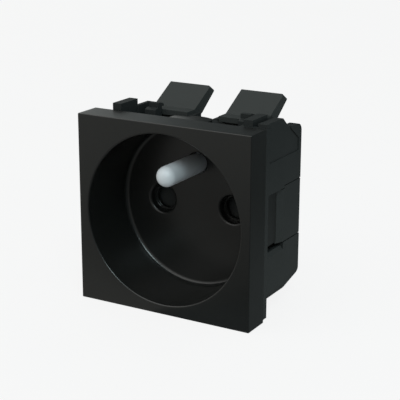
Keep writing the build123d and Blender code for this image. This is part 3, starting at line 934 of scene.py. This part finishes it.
@dataclass
class EarthPin:
    """Turned pin with a round tip, a root that narrows in the floor, a collar and a rivet.

    The root, the collar and the rivet are each given by their start, end and radius.
    """

    radius: float = 2.4
    tip_steps: int = 32
    shank_strip: float = 0.1
    root: Triple = (15.4, 17.4, 1.9)
    collar: Triple = (19.2, 20.6, 3.2)
    chamfer: float = 0.15
    tail: float = 1.8
    rivet: Triple = (24.1, 24.8, 2.7)
    rivet_chamfer: float = 0.1
    dome_steps: int = 8
    count: int = 128

    def profile(self) -> np.ndarray:
        """Outline of the pin: quarter circle, shank, steps and the rivet's quarter ellipse.

        Returns:
            Array of (r, y) points from the tip to the rivet's middle.
        """
        root_start, root_end, root_r = self.root
        front, back, wide = self.collar
        start, end, head = self.rivet
        tip = arc(0.0, self.radius, self.radius, -90, 0, self.tip_steps)
        rest = [
            [self.radius, self.radius + self.shank_strip],
            [self.radius, root_start],
            [root_r, root_end],
            [root_r, front],
            [wide - self.chamfer, front],
            [wide, front + self.chamfer],
            [wide, back - self.chamfer],
            [wide - self.chamfer, back],
            [self.tail, back],
            [self.tail, start],
            [head - self.rivet_chamfer, start],
            [head, start + self.chamfer],
        ]
        a = np.radians(np.linspace(0, 90, self.dome_steps + 1)[1:])
        dome = [0.0, start + self.chamfer] + [head, end - start - self.chamfer] * directions(a)
        tip[0, 0] = dome[-1, 0] = 0.0
        return np.concatenate([tip, rest, dome])

    def build(self, material: bpy.types.Material) -> None:
        """Make the pin and let it stand for its node.

        Args:
            material: Finish of the pin.
        """
        patches = Patchwork()
        patches.turned(self.profile(), 0.0, PIN_HEIGHT, self.count)
        settle(patches.piece("earth_pin_fine"), Body.SOCKET, Slot.NICKEL, material, "earth_pin")


@dataclass
class ShutterSpring:
    """Wire coil under the shutter, with closed end turns."""

    y: float = 20.2
    low: float = -14.2
    high: float = -4.0
    radius: float = 0.75
    wire: float = 0.28
    turns: float = 8.0
    travel: float = 6.3
    around: int = 10
    per_turn: int = 32

    def line(self) -> np.ndarray:
        """Centreline of the wire.

        The height rises by one wire over each end turn and evenly in between, round a circle.

        Returns:
            Array of (x, y, z) points.
        """
        t = np.linspace(0, self.turns, int(self.turns * self.per_turn) + 1)
        span = self.high - self.low - self.wire
        rise = [0, self.wire, span - self.wire, span]
        z = self.low + self.wire / 2 + np.interp(t, [0, 1, self.turns - 1, self.turns], rise)
        flat = [0.0, self.y] + self.radius * directions(2 * np.pi * t)
        return np.insert(flat, 2, z, axis=1)

    def build(self, material: bpy.types.Material) -> None:
        """Sweep a circle along the line, close its ends and give the piece a mesh of its own.

        Args:
            material: Finish of the spring.
        """
        line = self.line()
        ahead = normalised(np.gradient(line, axis=0))
        out = normalised((line - [0, self.y, 0]) * [1, 1, 0])
        side = np.cross(ahead, out)
        a = np.linspace(0, 2 * np.pi, self.around, endpoint=False)[None, :, None]
        spokes = np.cos(a) * out[:, None] + np.sin(a) * side[:, None]
        rings = line[:, None] + self.wire / 2 * spokes
        patches = Patchwork()
        patches.rings(rings)
        for end in (0, -1):
            patches.cap(rings[end], line[end])
        piece = patches.piece("shutter_spring_fine")
        settle(piece, Body.SOCKET, Slot.SPRING, material, "shutter_spring")
        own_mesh(piece)


def dress_nodes(materials: dict[Slot, bpy.types.Material]) -> None:
    """Give every CAD node, whose own shape shows, the finish of its slot in the record.

    Args:
        materials: Materials by slot.
    """
    slots = {part["node"]: Slot(part["material_slot"]) for part in FRAME["record"]["subparts"]}
    for name, node in FRAME["nodes"].items():
        node.data.materials.clear()
        node.data.materials.append(materials[slots[name]])
        LOG.info("%s: %s", name, slots[name].value)


# ---------------------------------------------------------------- studio


@dataclass(frozen=True)
class Lamp:
    """Square area lamp.

    Attributes:
        name: Name of the lamp.
        place: Position in metres.
        size: Side of the square in metres.
        power: Power in watts.
        colour: Colour of its light.
        aim: Point that the lamp faces, in metres.
        beam_deg: Full angle of its beam in degrees.
        glossy: Whether its own square shows in glossy surfaces.
    """

    name: str
    place: Triple
    size: float
    power: float
    colour: Triple = WHITE
    aim: Triple = (0.0, 0.012, 0.0)
    beam_deg: float = 180.0
    glossy: bool = True

    def build(self) -> None:
        """Make the lamp, turned so that its -Z axis runs from its place to its aim."""
        data = bpy.data.lights.new(self.name, "AREA")
        data.shape = "SQUARE"
        data.size = self.size
        data.energy = self.power
        data.color = self.colour
        data.spread = math.radians(self.beam_deg)
        lamp = bpy.data.objects.new(self.name, data)
        bpy.context.scene.collection.objects.link(lamp)
        lamp.location = self.place
        lamp.rotation_mode = "QUATERNION"
        view = Vector(self.aim) - Vector(self.place)
        lamp.rotation_quaternion = view.to_track_quat("-Z", "Y")
        lamp.visible_glossy = self.glossy


LAMPS = (
    Lamp("key", (-0.34, -0.57, 0.69), 0.9, 2.0),
    Lamp("cross", (0.34, -0.42, 0.55), 0.24, 1.8, (0.80, 0.98, 1.0)),
    Lamp(
        name="side",
        place=(0.42, 0.08, 0.0),
        size=0.04,
        power=0.0062,
        colour=WARM,
        aim=(0.022, 0.020, -0.018),
        beam_deg=14.0,
        glossy=False,
    ),
    Lamp("rim", (-0.60, 0.45, 0.25), 0.3, 0.2, WARM),
)


@dataclass
class Studio:
    """White ground, pale floor and soft lamps.

    Attributes:
        floor_half: Half the floor's width in metres.
        floor_gap: Gap between the floor and the object in metres.
        floor_colour: Colour of the paper, which floor_shade brightens in faint clouds.
        floor_cloud: Size of the clouds in millimetres, and their octaves.
        floor_glow: Share of plain white in what the camera sees of the floor.
        fill: Strength of the world's light on matt surfaces.
        bright_side: Direction of the studio's bright side.
        bright_edge: Cosines to that direction between which dark turns to bright.
        bright_level: Level of the bright side in reflections.
        dark_side: Level of the dark side in reflections.
        warm: Tint of the bright side.
        cool: Tint of the dark side.
        pool: Distances in metres over which the painted pool of light and shade fade out.
        painted_pool_level: Level of the painted pool of light on the floor near the object.
        painted_shade_near: Share of the floor's glow left near the object, a painted shade.
        front: Direction of the studio's front.
        front_edge: Cosines to that direction between which the ground is dimmed.
        front_level: Share of the bright level that is left at the front.
    """

    floor_half: float = 1.5
    floor_gap: float = 0.00002
    floor_colour: Triple = (0.50, 0.50, 0.50)
    floor_shade: float = 0.015
    floor_cloud: Pair = (40.0, 3.0)
    floor_roughness: float = 0.9
    floor_specular: float = 0.1
    floor_glow: float = 0.86
    fill: float = 0.72
    bright_side: Triple = (-0.866, -0.5, 0.0)
    bright_edge: Pair = (-0.05, 0.22)
    bright_level: float = 0.73
    dark_side: float = 0.080
    warm: Triple = WARM
    cool: Triple = (0.84, 0.98, 1.0)
    # Painted pool of light and painted shade near the object, in the floor's glow for gloss.
    pool: Pair = (0.03, 0.20)
    painted_pool_level: float = 0.16
    painted_shade_near: float = 0.40
    front: Triple = (0.0, -1.0, 0.0)
    front_edge: Pair = (0.25, 0.75)
    front_level: float = 0.42

    def sight(self, kit: Nodes) -> tuple[Socket, Socket]:
        """Tell by what kind of ray a surface is seen.

        Args:
            kit: Nodes of the world or of the floor.

        Returns:
            Sockets with 1 for a camera ray and with 1 for a glossy or transmitted ray.
        """
        path = kit.node("LightPath").outputs
        gloss = kit.math("MAXIMUM", path[Sight.GLOSSY.value], path[Sight.TRANSMISSION.value])
        return path[Sight.CAMERA.value], gloss

    def ground(self, kit: Nodes, place: Socket, pooled: bool) -> tuple[Socket, Socket]:
        """Colour and level of the white ground that a ray sees.

        The camera sees plain white. Gloss and glass see the ground faintly warm on the
        studio's bright side and dim and cool on its dark side: the level rises smoothly with
        direction . bright side, from the dark side's level to the bright one, and is dimmed
        towards the front, where the room's dark part would be. On the floor this glow is painted
        light: near the object it is dimmer, a painted shade, and a painted pool of light adds to
        it, whose level falls smoothly with the distance.

        Args:
            kit: Nodes of the world or of the floor.
            place: Socket with a direction, or with a place seen from the origin.
            pooled: Whether the painted pool of light and painted shade near the object are added.

        Returns:
            Sockets with the colour and with the level, which is 0 for every other ray.
        """
        camera, gloss = self.sight(kit)
        unit = kit.vector("NORMALIZE", 0, place)
        facing = kit.vector("DOT_PRODUCT", "Value", unit, self.bright_side)
        ahead = kit.vector("DOT_PRODUCT", "Value", unit, self.front)
        side = kit.spread(facing, 0.0, 1.0, *self.bright_edge)
        dimmed = self.bright_level * self.front_level
        dimmer = kit.spread(ahead, self.bright_level, dimmed, *self.front_edge)
        level = kit.math("MAXIMUM", kit.math("MULTIPLY", side, dimmer), self.dark_side)
        # Painted shade: the floor's glow is dimmer near the object; a painted pool of light adds to
        # it.
        if pooled:
            reach = kit.vector("LENGTH", "Value", place)
            near = kit.spread(reach, self.painted_shade_near, 1.0, *self.pool)
            pool = kit.spread(reach, self.painted_pool_level, 0.0, *self.pool)
            pool = kit.math("MULTIPLY", pool, dimmer)
            level = kit.math("MAXIMUM", kit.math("MULTIPLY", level, near), pool)
        colour = kit.blend(camera, kit.blend(side, self.cool, self.warm), WHITE)
        return colour, kit.math("MAXIMUM", kit.math("MULTIPLY", gloss, level), camera)

    def world(self) -> None:
        """White world for what is seen, softer for what it lights."""
        world = bpy.data.worlds.new("studio")
        bpy.context.scene.world = world
        world.use_nodes = True
        kit = Nodes(world.node_tree)
        back = kit.tree.nodes["Background"].inputs
        colour, level = self.ground(kit, kit.node("TexCoord").outputs["Generated"], False)
        diffuse = kit.node("LightPath").outputs[Sight.DIFFUSE.value]
        soft = kit.math("MULTIPLY", diffuse, self.fill)
        kit.tree.links.new(colour, back["Color"])
        kit.tree.links.new(kit.math("ADD", level, soft), back["Strength"])

    def paper(self) -> bpy.types.Material:
        """Pale paper that mostly glows white for the camera and keeps the object's shadow.

        Returns:
            The material.
        """
        sheet = Sheet("floor_paper")
        shade = tuple(c + self.floor_shade for c in self.floor_colour)
        sheet.set(
            Base_Color=sheet.cloud(*self.floor_cloud, self.floor_colour, shade),
            Roughness=self.floor_roughness,
            Specular_IOR_Level=self.floor_specular,
        )
        # Glossy rays see only this glow: painted light, with a painted pool of light and painted
        # shade near the object.
        colour, level = self.ground(sheet, sheet.place, True)
        glow = sheet.node("Emission", {"Color": colour, "Strength": level}).outputs[0]
        camera, gloss = self.sight(sheet)
        share = sheet.math("MAXIMUM", sheet.math("MULTIPLY", camera, self.floor_glow), gloss)
        mixed = sheet.node("MixShader", {0: share, 1: sheet.shader.outputs[0], 2: glow})
        surface = sheet.tree.nodes["Material Output"].inputs["Surface"]
        sheet.tree.links.new(mixed.outputs[0], surface)
        return sheet.material

    def floor(self, height: float) -> None:
        """Make the square floor.

        Args:
            height: Height of the floor in metres.
        """
        s = self.floor_half
        corners = [(-s, -s, height), (s, -s, height), (s, s, height), (-s, s, height)]
        mesh = bpy.data.meshes.new("floor")
        mesh.from_pydata(corners, [], [(0, 1, 2, 3)])
        mesh.materials.append(self.paper())
        floor = bpy.data.objects.new("floor", mesh)
        bpy.context.scene.collection.objects.link(floor)

    def build(self) -> None:
        """Make the world, the floor just under the object, and the lamps."""
        self.world()
        self.floor(CAD_BOX[0].z - self.floor_gap)
        for lamp in LAMPS:
            lamp.build()
        LOG.info("studio: world, floor and lamps")


@dataclass
class PhotoCamera:
    """Camera at the photograph's viewpoint, on an orbit round a target point.

    The focal length is in pixels of a picture of the given width, the clip range in metres.
    """

    target: Triple = (9.98, 0.0, 6.58)
    azimuth: float = 30.0
    elevation: float = 16.635
    roll: float = 0.13
    distance: float = 259.84
    focal: float = 1181.5
    picture: int = 400
    sensor: float = 36.0
    clip: Pair = (0.01, 10.0)

    def build(self) -> None:
        """Make the camera.

        It stands at target + distance * (sin a cos e, -cos a cos e, sin e) for the azimuth a
        and the elevation e, and its lens is focal / picture width * sensor width.
        """
        a, e = math.radians(self.azimuth), math.radians(self.elevation)
        back = Vector((math.sin(a) * math.cos(e), -math.cos(a) * math.cos(e), math.sin(e)))
        data = bpy.data.cameras.new("camera")
        data.sensor_width = self.sensor
        data.lens = self.focal / self.picture * self.sensor
        data.clip_start, data.clip_end = self.clip
        camera = bpy.data.objects.new("camera", data)
        bpy.context.scene.collection.objects.link(camera)
        camera.location = (Vector(self.target) + back * self.distance) * MM
        camera.rotation_mode = "QUATERNION"
        level = (-back).to_track_quat("-Z", "Y")
        camera.rotation_quaternion = level @ Quaternion((0, 0, 1), math.radians(self.roll))
        bpy.context.scene.camera = camera


def main() -> None:
    """Build the finishes, the pieces, the studio and the camera in order."""
    logging.basicConfig(level=logging.INFO, format="%(name)s %(message)s")
    bpy.context.scene.view_settings.view_transform = "Standard"
    materials = {finish.slot: finish.material() for finish in FINISHES}
    dress_nodes(materials)
    FrontCover().build(materials[Slot.COVER])
    EarthPin().build(materials[Slot.NICKEL])
    ShutterSpring().build(materials[Slot.SPRING])
    Studio().build()
    PhotoCamera().build()


if __name__ == "__main__":
    main()
